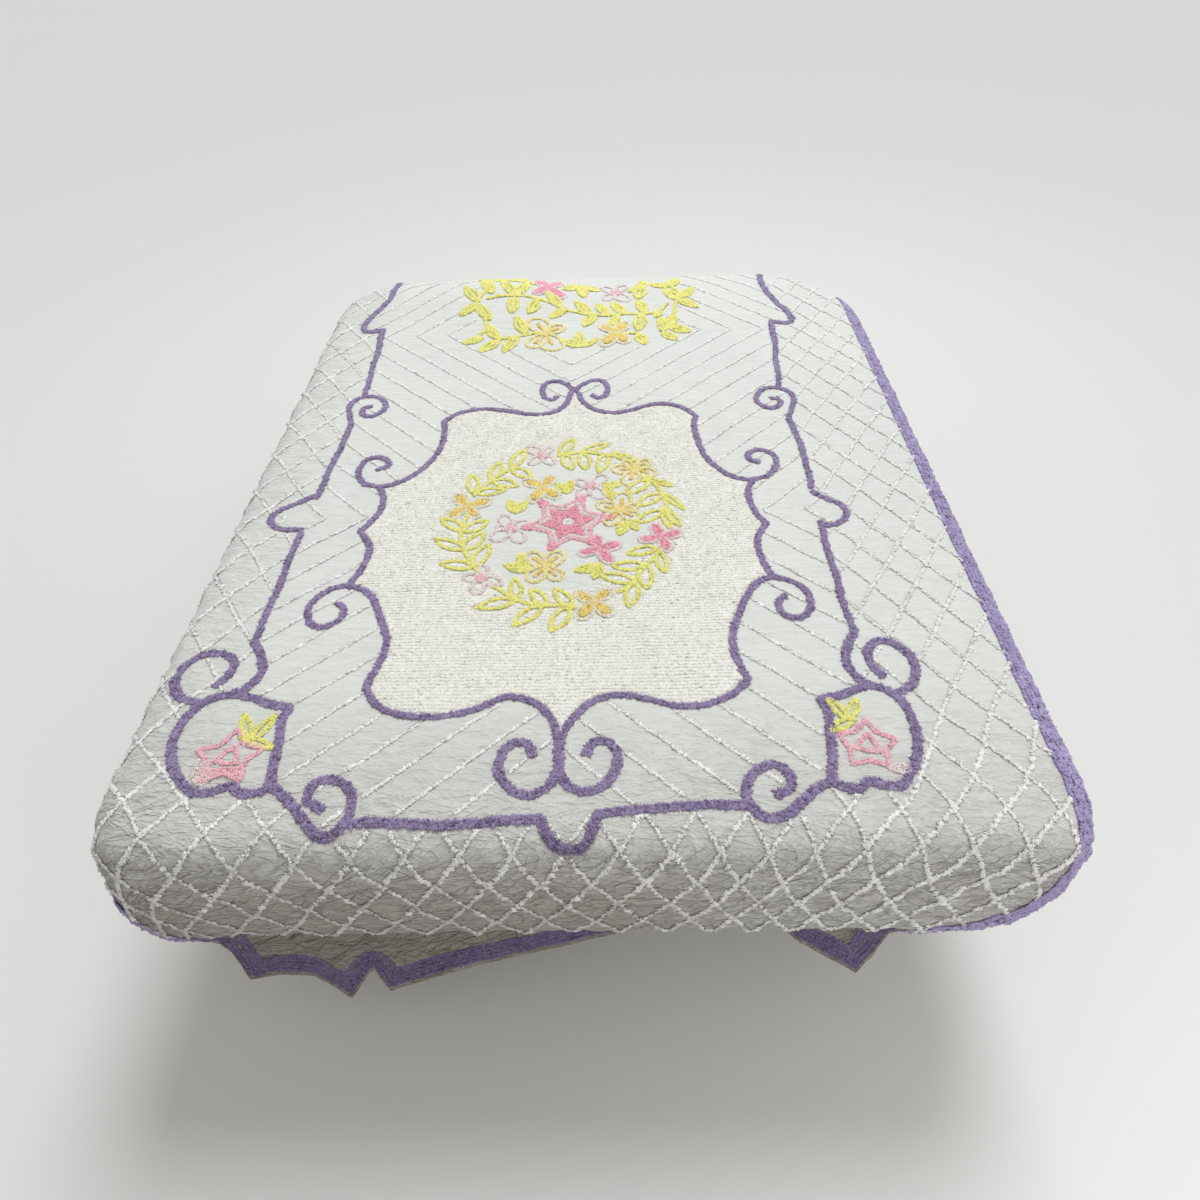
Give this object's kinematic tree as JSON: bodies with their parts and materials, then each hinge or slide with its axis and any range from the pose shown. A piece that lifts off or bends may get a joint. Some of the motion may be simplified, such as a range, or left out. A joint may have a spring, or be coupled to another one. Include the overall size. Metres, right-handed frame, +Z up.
{
  "type": "chenille bedspread on a mattress",
  "caption": "Bedspread of tufted cotton muslin draped over a mattress: flat on top, turned over the edges, tucked and hanging at the foot, falling free at the head",
  "frame": {"origin": "middle of the underside of the base, on the floor", "axes": "+X across the bed to the right as seen from the foot, +Y from the foot to the head, +Z up"},
  "size_m": [1.5477, 2.1, 0.5911],
  "materials": {
    "chenille_cotton": "washed cotton muslin with cut pile tufting",
    "mattress_ticking": "plain woven ticking",
    "base_cover": "plain woven cover"
  },
  "bodies": {
    "root": {"bedspread": "chenille_cotton", "mattress": "mattress_ticking", "bed_base": "base_cover"}
  },
  "joints": []
}
